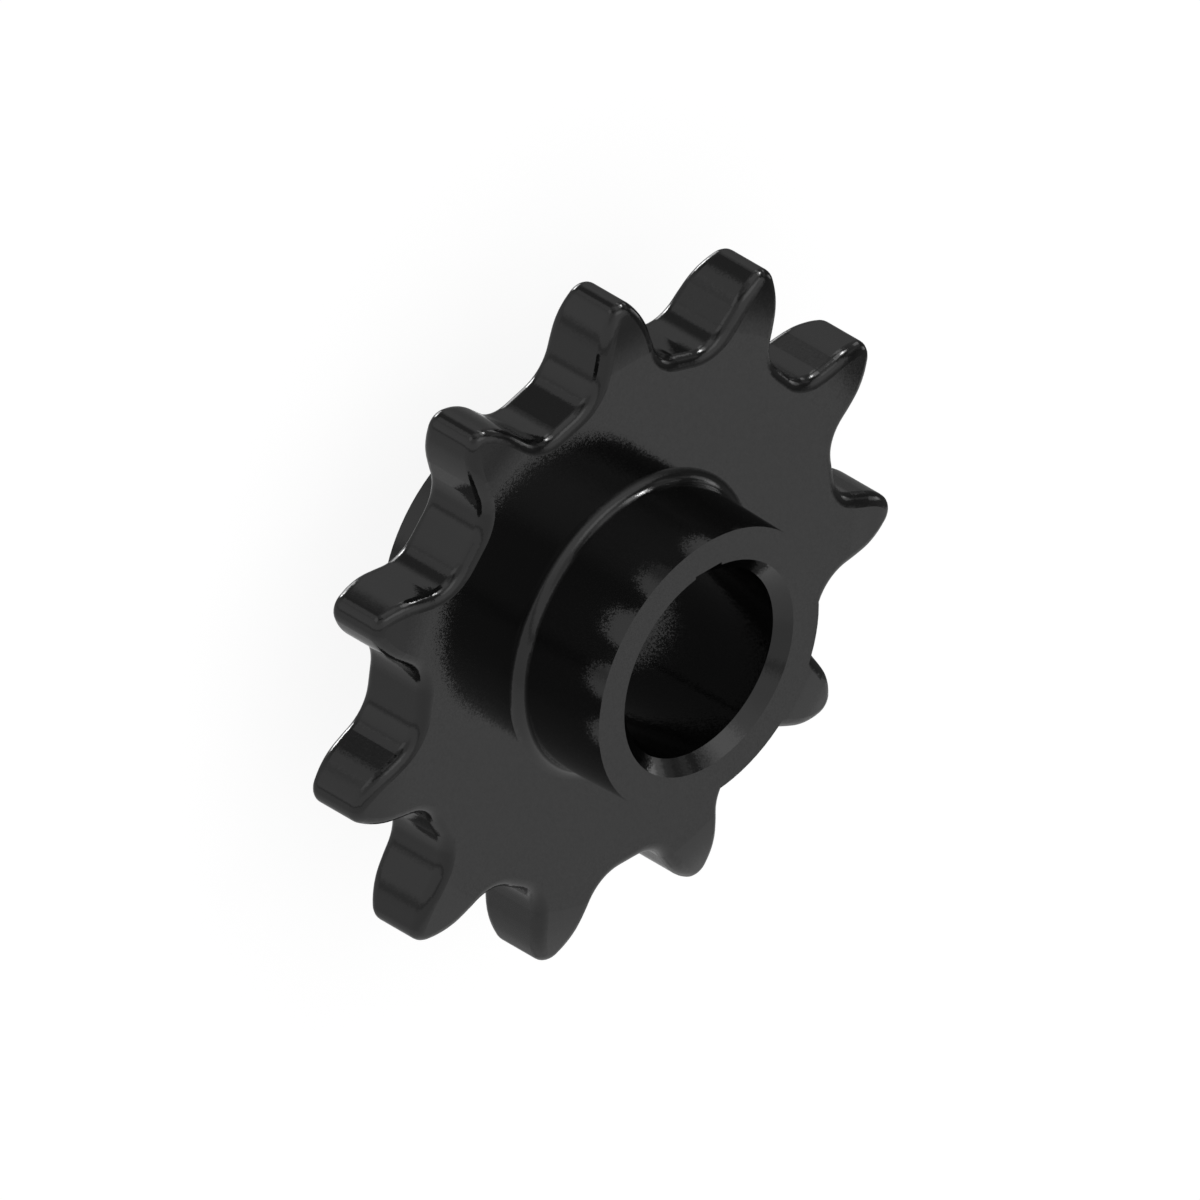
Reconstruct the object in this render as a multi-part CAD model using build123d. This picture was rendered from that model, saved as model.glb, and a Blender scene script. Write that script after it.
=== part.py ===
from build123d import *
import os
from math import cos, pi, radians, sin, sqrt, tan

# A chain sprocket in one piece: a toothed plate with a round hub on both sides.
# +Z is the bore's axis, towards the front hub. +Y runs through the keyway and through one tooth.
# The origin is the middle of the bore, level with the middle of the teeth. Millimetres.

# Chain that the teeth carry
teeth = 11
pitch = 41.4                     # from one roller's centre to the next
roller_d = 17.8

# Tooth form, which grows with the pitch
gap_w = 0.617 * pitch            # a gap's width at its round corners
tip_height = 0.2445 * pitch      # a tooth's tip above the pitch circle
crest_r = 0.101 * pitch          # round top of a tooth
flank_straight = 0.119 * pitch   # straight start of a flank, before it bends towards the crest
relief_height = 0.34 * pitch     # a tooth's two sides curve inwards over this height below its tip
relief_r = 1.11 * pitch
corner_room = 1.15               # radius of a gap's corners over the roller's
corner_turn = 61.9 - 45 / teeth  # degrees that a corner turns, from the gap's bottom to the flank

# Plate that the teeth are cut from
plate_w = 18.5                   # along the axis
edge_r = 2.8                     # rounded edges all along the teeth, front and back
blank_room = 1.0                 # what the turned blank has over the tips

# Bore and keyway
bore_d = 46.0
bore_chamfer = 3.15
key_w = 8.0
key_depth = 3.5                  # keyway's floor beyond the bore's wall

# Hub
hub_wall = 11.0                  # round the bore, at the hub's two ends
hub_len = 67.0                   # whole length along the axis, with the plate in its middle
hub_draft = 1.5                  # degrees that the hub's side leans, so that it widens towards the plate
hub_root_r = 2.9                 # rounded corner between the hub and the plate

half_step = pi / teeth
pitch_r = pitch / (2 * sin(half_step))
root_r = pitch_r - roller_d / 2
tip_r = pitch_r + tip_height
corner_r = roller_d / 2 + corner_room
bore_r = bore_d / 2
hub_r = bore_r + hub_wall
hub_foot_r = hub_r + (hub_len - plate_w) / 2 * tan(radians(hub_draft))
close = 0.001                    # sizes and directions this near to each other count as the same


def tooth_side():
    """One side of a tooth from the gap's bottom up to the crest, with the gap's middle line on +X."""
    turn = radians(corner_turn)
    upwards = Vector(sin(turn), cos(turn))
    inwards = Vector(-cos(turn), sin(turn))
    bottom_end = Vector(root_r, gap_w / 2 - corner_r)
    corner_end = bottom_end + Vector(corner_r, 0) + corner_r * inwards
    flank_start = corner_end + flank_straight * upwards

    # The flank's arc goes on from the straight and into the crest's arc without a kink.
    crest_mid = (tip_r - crest_r) * Vector(cos(half_step), sin(half_step))
    span = crest_mid - flank_start
    flank_r = (span.dot(span) - crest_r**2) / (2 * (span.dot(inwards) - crest_r))
    flank_mid = flank_start + flank_r * inwards
    flank_end = crest_mid + (crest_mid - flank_mid) * (crest_r / (flank_r - crest_r))

    corner = TangentArc(bottom_end, corner_end, tangent=(0, 1))
    straight = Line(corner_end, flank_start)
    flank = TangentArc(flank_start, flank_end, tangent=upwards)
    return [corner, straight, flank]


def outline():
    """The closed outline of all the teeth, with the middle of one tooth on +Y."""
    rise = tooth_side()
    tooth_middle = Plane(origin=(0, 0, 0), z_dir=(-sin(half_step), cos(half_step), 0))
    fall = [edge.mirror(tooth_middle) for edge in rise]
    tip = tip_r * Vector(cos(half_step), sin(half_step))
    crest = ThreePointArc(rise[-1] @ 1, tip, fall[-1] @ 1)
    bottom_end = rise[0] @ 0
    bottom = Line((bottom_end.X, -bottom_end.Y), bottom_end)
    tooth = [bottom, *rise, crest, *fall]
    step = 360 / teeth
    first = 90 - step / 2
    return [edge.rotate(Axis.Z, first + count * step) for count in range(teeth) for edge in tooth]


def turned_blank():
    """The round plate before its teeth are cut, thinner towards the rim on both sides."""
    half_w = plate_w / 2
    relief_start = tip_r - relief_height
    rim_r = tip_r + blank_room
    rim_half_w = half_w - relief_r + sqrt(relief_r**2 - (rim_r - relief_start)**2)
    front = [Line((0, half_w), (relief_start, half_w)),
             TangentArc((relief_start, half_w), (rim_r, rim_half_w), tangent=(1, 0))]
    back = [edge.mirror(Plane.XZ) for edge in front]
    rim = Line((rim_r, rim_half_w), (rim_r, -rim_half_w))
    middle = Line((0, half_w), (0, -half_w))
    return revolve(Plane.XZ * make_face([*front, rim, *back, middle]), Axis.Z)


def toothed_plate():
    """The plate with its teeth, their edges rounded front and back."""
    plate = turned_blank() & extrude(make_face(outline()), plate_w / 2, both=True)
    tooth_walls = plate.faces().filter_by(lambda face: abs(face.normal_at().Z) < close)
    return fillet(tooth_walls.edges().filter_by(Axis.Z, reverse=True), edge_r)


def turned_hub():
    """The hub from end to end, widest in the middle of the plate."""
    half_len = hub_len / 2
    middle_r = hub_r + half_len * tan(radians(hub_draft))
    front_side = [(0, half_len), (hub_r, half_len), (middle_r, 0)]
    section = Polyline(*front_side, (hub_r, -half_len), (0, -half_len), close=True)
    return revolve(Plane.XZ * make_face(section), Axis.Z)


def add_hub(plate):
    """The plate with the hub through it, and a rounded corner where they meet on both sides."""
    joined = plate + turned_hub()
    circles = joined.edges().filter_by(GeomType.CIRCLE)
    roots = circles.filter_by(lambda edge: abs(edge.radius - hub_foot_r) < close)
    return fillet(roots, hub_root_r)


def cut_bore(body):
    """The body with its bore, chamfered at both ends, and the keyway along all of it."""
    bored = body - Cylinder(bore_r, hub_len)
    circles = bored.edges().filter_by(GeomType.CIRCLE)
    mouths = circles.filter_by(lambda edge: abs(edge.radius - bore_r) < close)
    bored = chamfer(mouths, bore_chamfer)
    keyway = Box(key_w, bore_r + key_depth, hub_len, align=(Align.CENTER, Align.MIN, Align.CENTER))
    return bored - keyway


sprocket = cut_bore(add_hub(toothed_plate()))

os.makedirs("parts", exist_ok=True)
export_step(sprocket, "parts/sprocket.step")
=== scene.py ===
from math import radians

import bpy
from mathutils import Matrix, Vector


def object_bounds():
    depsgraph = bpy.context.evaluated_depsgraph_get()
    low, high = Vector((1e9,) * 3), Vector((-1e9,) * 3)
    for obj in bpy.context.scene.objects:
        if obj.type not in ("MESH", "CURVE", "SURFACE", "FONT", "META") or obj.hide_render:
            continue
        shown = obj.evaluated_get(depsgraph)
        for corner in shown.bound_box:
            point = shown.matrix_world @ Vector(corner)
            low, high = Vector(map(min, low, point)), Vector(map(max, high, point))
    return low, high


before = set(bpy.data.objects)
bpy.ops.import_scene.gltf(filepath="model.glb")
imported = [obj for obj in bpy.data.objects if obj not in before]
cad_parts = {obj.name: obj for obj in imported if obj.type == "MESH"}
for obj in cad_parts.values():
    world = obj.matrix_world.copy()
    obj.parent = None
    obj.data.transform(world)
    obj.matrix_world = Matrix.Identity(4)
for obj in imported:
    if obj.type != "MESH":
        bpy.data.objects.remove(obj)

cad_low, cad_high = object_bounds()

# The sprocket is one piece of steel under gloss black paint. The paint is almost without colour of
# its own, and what shows in it is the room. A very fine grain in it breaks up the rims of what it
# mirrors, and it is a little duller in some places than in others.
PAINT_BLACK = 0.0030
PAINT_BLACK_DEEP = 0.0025
PAINT_ROUGHNESS = 0.085
PAINT_DULLER = 0.105
PAINT_IOR = 1.6
CLOUD_PER_METRE = 45
CLOUD_DETAIL = 3
CLOUD_LOW = 0.3                  # where the clouds are this thin, the paint is at its glossiest
CLOUD_HIGH = 0.7                 # and here at its dullest
GRAIN_PER_METRE = 4000
GRAIN_MIDDLE = 0.5
GRAIN_TILT = 0.045

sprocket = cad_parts["sprocket"]
paint = bpy.data.materials.new("gloss_black_paint")
paint.use_nodes = True
paint.node_tree.nodes.clear()
paint_new = paint.node_tree.nodes.new
paint_link = paint.node_tree.links.new

place = paint_new("ShaderNodeTexCoord")
cloud = paint_new("ShaderNodeTexNoise")
cloud.inputs["Scale"].default_value = CLOUD_PER_METRE
cloud.inputs["Detail"].default_value = CLOUD_DETAIL
paint_link(place.outputs["Object"], cloud.inputs["Vector"])

tint = paint_new("ShaderNodeMix")
tint.data_type = "RGBA"
tint.inputs["A"].default_value = (PAINT_BLACK_DEEP, PAINT_BLACK_DEEP, PAINT_BLACK_DEEP, 1)
tint.inputs["B"].default_value = (PAINT_BLACK, PAINT_BLACK, PAINT_BLACK, 1)
paint_link(cloud.outputs["Fac"], tint.inputs["Factor"])

gloss = paint_new("ShaderNodeMapRange")
gloss.inputs["From Min"].default_value = CLOUD_LOW
gloss.inputs["From Max"].default_value = CLOUD_HIGH
gloss.inputs["To Min"].default_value = PAINT_ROUGHNESS
gloss.inputs["To Max"].default_value = PAINT_DULLER
paint_link(cloud.outputs["Fac"], gloss.inputs["Value"])

# Each grain's surface leans its own way, by a degree or so.
grain = paint_new("ShaderNodeTexVoronoi")
grain.inputs["Scale"].default_value = GRAIN_PER_METRE
paint_link(place.outputs["Object"], grain.inputs["Vector"])
grain_lean = paint_new("ShaderNodeVectorMath")
grain_lean.operation = "SUBTRACT"
grain_lean.inputs[1].default_value = (GRAIN_MIDDLE, GRAIN_MIDDLE, GRAIN_MIDDLE)
paint_link(grain.outputs["Color"], grain_lean.inputs[0])
grain_normal = paint_new("ShaderNodeVectorMath")
grain_normal.operation = "MULTIPLY_ADD"
grain_normal.inputs[1].default_value = (GRAIN_TILT, GRAIN_TILT, GRAIN_TILT)
smooth_surface = paint_new("ShaderNodeNewGeometry")
paint_link(grain_lean.outputs["Vector"], grain_normal.inputs[0])
paint_link(smooth_surface.outputs["Normal"], grain_normal.inputs[2])
paint_normal = paint_new("ShaderNodeVectorMath")
paint_normal.operation = "NORMALIZE"
paint_link(grain_normal.outputs["Vector"], paint_normal.inputs[0])

paint_shader = paint_new("ShaderNodeBsdfPrincipled")
paint_shader.inputs["IOR"].default_value = PAINT_IOR
paint_link(tint.outputs["Result"], paint_shader.inputs["Base Color"])
paint_link(gloss.outputs["Result"], paint_shader.inputs["Roughness"])
paint_link(paint_normal.outputs["Vector"], paint_shader.inputs["Normal"])
paint_out = paint_new("ShaderNodeOutputMaterial")
paint_link(paint_shader.outputs["BSDF"], paint_out.inputs["Surface"])
sprocket.material_slots[0].material = paint

# The floor that the rear hub stands on, pale and plain. To the camera it is as white as the
# backdrop, but for the sprocket's faint soft shadow. The paint mirrors the room instead of it.
FLOOR_SIZE = 6
FLOOR_COLOUR = 0.8
FLOOR_SHARE = 0.25               # what the camera sees of the light that falls on the floor
FLOOR_WHITE = 0.9                # white that is added to it

bpy.ops.object.select_all(action="DESELECT")
bpy.ops.mesh.primitive_plane_add(size=FLOOR_SIZE, location=(0, 0, cad_low.z))
bpy.ops.object.transform_apply(location=True, rotation=True, scale=True)
floor = bpy.context.object
floor.name = "floor"
floor.visible_glossy = False

floor_paint = bpy.data.materials.new("pale_floor")
floor_paint.use_nodes = True
floor_paint.node_tree.nodes.clear()
floor_new = floor_paint.node_tree.nodes.new
floor_link = floor_paint.node_tree.links.new
floor_diffuse = floor_new("ShaderNodeBsdfDiffuse")
floor_diffuse.inputs["Color"].default_value = (FLOOR_COLOUR, FLOOR_COLOUR, FLOOR_COLOUR, 1)
floor_white = floor_new("ShaderNodeEmission")
floor_white.inputs["Strength"].default_value = FLOOR_WHITE
floor_share = floor_new("ShaderNodeMixShader")
floor_share.inputs["Fac"].default_value = FLOOR_SHARE
floor_bright = floor_new("ShaderNodeAddShader")
floor_seen = floor_new("ShaderNodeMixShader")
floor_ray = floor_new("ShaderNodeLightPath")
floor_link(floor_diffuse.outputs["BSDF"], floor_share.inputs[2])
floor_link(floor_share.outputs["Shader"], floor_bright.inputs[0])
floor_link(floor_white.outputs["Emission"], floor_bright.inputs[1])
floor_link(floor_ray.outputs["Is Camera Ray"], floor_seen.inputs["Fac"])
floor_link(floor_diffuse.outputs["BSDF"], floor_seen.inputs[1])
floor_link(floor_bright.outputs["Shader"], floor_seen.inputs[2])
floor_out = floor_new("ShaderNodeOutputMaterial")
floor_link(floor_seen.outputs["Shader"], floor_out.inputs["Surface"])
floor.data.materials.append(floor_paint)

# The patch of the floor that closes the bore's rear end, a disc that glows white though it is no
# lamp.
# The bore's wall shows it only in what it mirrors for the second time: a faint painted sheen in the
# bore.
PATCH_RADIUS = 0.026
PATCH_CORNERS = 64
PATCH_SHEEN_WHITE = 1
MIRRORED_TWICE = 1.5             # a ray's depth is over this from its second mirroring on

bpy.ops.object.select_all(action="DESELECT")
bpy.ops.mesh.primitive_circle_add(vertices=PATCH_CORNERS, radius=PATCH_RADIUS, fill_type="NGON",
                                  location=(0, 0, cad_low.z))
bpy.ops.object.transform_apply(location=True, rotation=True, scale=True)
patch = bpy.context.object
patch.name = "painted_sheen_under_bore"
patch.visible_camera = False
patch.visible_diffuse = False
patch.visible_transmission = False
patch.visible_shadow = False

patch_paint = bpy.data.materials.new("painted_bore_sheen")
patch_paint.use_nodes = True
patch_paint.node_tree.nodes.clear()
patch_new = patch_paint.node_tree.nodes.new
patch_link = patch_paint.node_tree.links.new
# Painted sheen: this white glow stands in for light inside the bore.
patch_sheen_glow = patch_new("ShaderNodeEmission")
patch_sheen_glow.inputs["Strength"].default_value = PATCH_SHEEN_WHITE
patch_clear = patch_new("ShaderNodeBsdfTransparent")
patch_ray = patch_new("ShaderNodeLightPath")
patch_twice = patch_new("ShaderNodeMath")
patch_twice.operation = "GREATER_THAN"
patch_twice.inputs[1].default_value = MIRRORED_TWICE
patch_seen = patch_new("ShaderNodeMixShader")
patch_link(patch_ray.outputs["Ray Depth"], patch_twice.inputs[0])
patch_link(patch_twice.outputs["Value"], patch_seen.inputs["Fac"])
patch_link(patch_clear.outputs["BSDF"], patch_seen.inputs[1])
patch_link(patch_sheen_glow.outputs["Emission"], patch_seen.inputs[2])
patch_out = patch_new("ShaderNodeOutputMaterial")
patch_link(patch_seen.outputs["Shader"], patch_out.inputs["Surface"])
patch.data.materials.append(patch_paint)

# The room round the sprocket: a grey room with soft lamps, a dark opening with a window in it, and
# the pale backdrop. The paint mirrors it, and the camera sees plain white in its place. The room is
# turned so that its upright is the part's +Y.
ROOM_LEVEL = 0.8                 # what of the levels below lights the part
ROOM_BACK = 0.36                 # level where no wall or lamp is laid
BACKDROP_WHITE = 1
HALF_TURN = 180

room = bpy.data.worlds.new("room")
bpy.context.scene.world = room
room.use_nodes = True
room.node_tree.nodes.clear()
room_new = room.node_tree.nodes.new
room_link = room.node_tree.links.new


def room_math(operation, *values):
    """A Math node on sockets and numbers, and its result."""
    node = room_new("ShaderNodeMath")
    node.operation = operation
    for socket, value in zip(node.inputs, values):
        if isinstance(value, (int, float)):
            socket.default_value = value
        else:
            room_link(value, socket)
    return node.outputs["Value"]


def soft_inside(distance, limit, softness):
    """1 where the distance is under the limit and 0 past it, with an edge as soft as is said."""
    edge = room_new("ShaderNodeMapRange")
    edge.interpolation_type = "SMOOTHSTEP"
    edge.inputs["From Min"].default_value = limit + softness
    edge.inputs["From Max"].default_value = limit - softness
    room_link(distance, edge.inputs["Value"])
    return edge.outputs["Result"]


def lay_over(behind, mask, level):
    """The room's light so far, with this level wherever the mask is 1."""
    laid = room_new("ShaderNodeMix")
    laid.data_type = "FLOAT"
    laid.inputs["B"].default_value = level
    room_link(mask, laid.inputs["Factor"])
    room_link(behind, laid.inputs["A"])
    return laid.outputs["Result"]


# Where in the room a ray ends, in degrees: its turn goes round the upright, from the part's +Z
# towards its +X, and its height is above level.
room_place = room_new("ShaderNodeTexCoord")
room_split = room_new("ShaderNodeSeparateXYZ")
room_turned = room_new("ShaderNodeCombineXYZ")
room_link(room_place.outputs["Generated"], room_split.inputs["Vector"])
room_link(room_split.outputs["Z"], room_turned.inputs["X"])
room_link(room_split.outputs["X"], room_turned.inputs["Y"])
room_link(room_split.outputs["Y"], room_turned.inputs["Z"])
round_upright = room_math("ARCTAN2", room_split.outputs["X"], room_split.outputs["Z"])
turn_seen = room_math("DEGREES", round_upright)
height_seen = room_math("DEGREES", room_math("ARCSINE", room_split.outputs["Y"]))


def paint_wall(behind, turn, half_width, height, half_height, soft_turn, soft_height, level):
    """A soft box in turn and height: its middle, half sizes, how soft its edges are, its level."""
    turn_from_middle = room_math("SUBTRACT", turn_seen, turn)
    shorter_way = room_math("WRAP", turn_from_middle, HALF_TURN, -HALF_TURN)
    aside = room_math("ABSOLUTE", shorter_way)
    above = room_math("ABSOLUTE", room_math("SUBTRACT", height_seen, height))
    mask = room_math("MULTIPLY", soft_inside(aside, half_width, soft_turn),
                     soft_inside(above, half_height, soft_height))
    return lay_over(behind, mask, level)


def paint_lamp(behind, turn, half_width, height, half_height, softness, lean, level):
    """A soft oval: its middle, half sizes, the share of them that is soft, its lean, its level."""
    local = room_new("ShaderNodeMapping")
    local.vector_type = "TEXTURE"
    local.inputs["Rotation"].default_value = (radians(lean), radians(-height), radians(turn))
    local.inputs["Scale"].default_value = (1, radians(half_width), radians(half_height))
    room_link(room_turned.outputs["Vector"], local.inputs["Vector"])
    across = room_new("ShaderNodeVectorMath")
    across.operation = "MULTIPLY"
    across.inputs[1].default_value = (0, 1, 1)
    room_link(local.outputs["Vector"], across.inputs[0])
    distance = room_new("ShaderNodeVectorMath")
    distance.operation = "LENGTH"
    room_link(across.outputs["Vector"], distance.inputs[0])
    parts = room_new("ShaderNodeSeparateXYZ")
    room_link(local.outputs["Vector"], parts.inputs["Vector"])
    before = room_math("GREATER_THAN", parts.outputs["X"], 0)
    mask = room_math("MULTIPLY", soft_inside(distance.outputs["Value"], 1, softness), before)
    return lay_over(behind, mask, level)


room_back = room_new("ShaderNodeValue")
room_back.outputs["Value"].default_value = ROOM_BACK
light = room_back.outputs["Value"]
# Floor and walls
light = paint_wall(light, -30, 116, 0, 200, 55, 5, 0.65)
light = paint_wall(light, -5, 105, -62, 28, 70, 3, 0.74)
light = paint_wall(light, 188, 38, -66, 15, 12, 3, 0.5)
light = paint_wall(light, 130, 60, -76, 15, 35, 4, 0.72)
light = paint_wall(light, 108, 26, -39, 9, 8, 5, 0.25)
light = paint_wall(light, 76, 18, -35, 8, 12, 6, 0.46)
light = paint_wall(light, -85, 45, -8, 10, 30, 6, 0.68)
light = paint_wall(light, -65, 75, 2, 3.5, 20, 2.5, 0.44)
light = paint_wall(light, -54, 96, 26, 17, 24, 4, 0.81)
light = paint_wall(light, 14, 30, 24, 19, 14, 8, 0.94)
light = paint_wall(light, 54, 10, 42, 7, 5, 4, 0.33)
light = paint_wall(light, -65, 16, 45, 9, 14, 6, 0.62)
light = paint_wall(light, 22, 12, -9, 5, 10, 5, 0.47)
light = paint_wall(light, 42, 14, -19, 9, 8, 9, 0.32)
light = paint_wall(light, 48, 4, -12, 14, 5, 10, 0.22)
light = paint_wall(light, 108, 18, -44, 8, 5, 3, 0.6)
# Large soft lamps in front and on the left
light = paint_wall(light, 2, 28, 44, 13, 12, 9, 0.98)
light = paint_lamp(light, 12, 20, 47, 9, 0.5, -25, 1.65)
light = paint_wall(light, -126, 25, 55, 8, 10, 4, 1.14)
# Ceiling
light = paint_wall(light, -72, 30, 69, 7, 20, 4, 0.21)
light = paint_wall(light, -40, 25, 73, 5, 12, 4, 0.33)
light = paint_wall(light, -130, 25, 72, 5, 10, 4, 0.38)
light = paint_wall(light, 100, 90, 80, 13, 30, 5, 0.95)
light = paint_wall(light, 182, 34, 65, 5, 18, 3, 0.45)
# Dark side behind on the right
light = paint_wall(light, -158, 11, 51, 8, 4, 5, 0.72)
light = paint_wall(light, 171.5, 17, 46, 14, 7, 8, 0.24)
light = paint_wall(light, 172, 14, -12, 12, 8, 8, 0.25)
light = paint_wall(light, 126, 9, -10, 18, 5, 8, 0.21)
light = paint_wall(light, 140, 12, 2, 12, 8, 8, 0.24)
light = paint_wall(light, 134, 14, 46, 16, 8, 20, 0.68)
light = paint_wall(light, 166, 16, 28, 8, 8, 6, 0.26)
light = paint_wall(light, 158, 24, -38, 12, 8, 8, 0.55)
# Dark opening, with shelves over it and a window in it
light = paint_wall(light, 85, 35.5, -6, 25, 4, 4, 0.11)
light = paint_wall(light, 68, 12, -12, 16, 6, 8, 0.15)
light = paint_wall(light, 110, 9, -15, 14, 5, 5, 0.08)
light = paint_wall(light, 88, 32, 34, 14, 4, 5, 0.32)
light = paint_wall(light, 113, 7, 17, 9, 3, 4, 0.3)
light = paint_wall(light, 60, 9, 32, 20, 3, 3, 0.18)
light = paint_wall(light, 66, 6.5, 26, 5, 3, 4, 0.45)
light = paint_lamp(light, 75, 6, 9, 7, 0.5, 20, 0.28)
light = paint_lamp(light, 79, 9, -4, 9, 0.25, 0, 0.68)
light = paint_lamp(light, 86, 6.5, -8, 5, 0.4, 0, 1.3)
light = paint_lamp(light, 101, 9, 22, 5, 0.35, -25, 1.4)
# Bright lamps over the opening
light = paint_wall(light, 82, 25, 57, 7, 7, 4, 2.3)
light = paint_wall(light, 123, 10, 48, 4, 5, 4, 1.75)
light = paint_lamp(light, 83, 9, 48, 6, 0.3, 0, 4.8)
light = paint_lamp(light, 84, 4.5, 49, 3, 0.3, 0, 26)
light = paint_lamp(light, 94, 3, 49, 4, 0.3, 0, 8)
# Bright lamp behind
light = paint_wall(light, 157, 7.5, 8, 11, 2.5, 5, 2.9)
light = paint_lamp(light, 162, 17, 8, 10, 0.3, 59, 3.2)
light = paint_lamp(light, 168, 6, 14, 6, 0.3, 0, 18)
# Pale backdrop, straight behind the part as the camera sees it
light = paint_lamp(light, 135, 5, -35, 5, 0.4, 0, 1.25)

room_light = room_new("ShaderNodeBackground")
room_light.inputs["Color"].default_value = (1, 1, 1, 1)
room_link(room_math("MULTIPLY", light, ROOM_LEVEL), room_light.inputs["Strength"])
room_white = room_new("ShaderNodeBackground")
room_white.inputs["Color"].default_value = (1, 1, 1, 1)
room_white.inputs["Strength"].default_value = BACKDROP_WHITE
room_ray = room_new("ShaderNodeLightPath")
room_seen = room_new("ShaderNodeMixShader")
room_link(room_ray.outputs["Is Camera Ray"], room_seen.inputs["Fac"])
room_link(room_light.outputs["Background"], room_seen.inputs[1])
room_link(room_white.outputs["Background"], room_seen.inputs[2])
room_out = room_new("ShaderNodeOutputWorld")
room_link(room_seen.outputs["Shader"], room_out.inputs["Surface"])

# The camera looks down on the front hub at the angle of an isometric drawing, without perspective,
# and it is turned so that +Y points up and to the right in the picture.
SEEN_WIDTH = 0.26224
SEEN_RIGHT = 0.02379
SEEN_UP = 0.01498
CAMERA_AWAY = 1.0

camera_back = Vector((-1, 1, 1)).normalized()
camera_right = Vector((1, 0, 1)).normalized()
camera_up = Vector((1, 2, -1)).normalized()
hub_front = Vector((0, 0, cad_high.z))
aim = hub_front - camera_right * SEEN_RIGHT + camera_up * SEEN_UP
camera_data = bpy.data.cameras.new("camera")
camera_data.type = "ORTHO"
camera_data.ortho_scale = SEEN_WIDTH
camera = bpy.data.objects.new("camera", camera_data)
bpy.context.scene.collection.objects.link(camera)
camera.matrix_world = Matrix.Translation(aim + camera_back * CAMERA_AWAY) @ Matrix(
    (camera_right, camera_up, camera_back)).transposed().to_4x4()
bpy.context.scene.camera = camera
bpy.context.scene.view_settings.view_transform = "Standard"
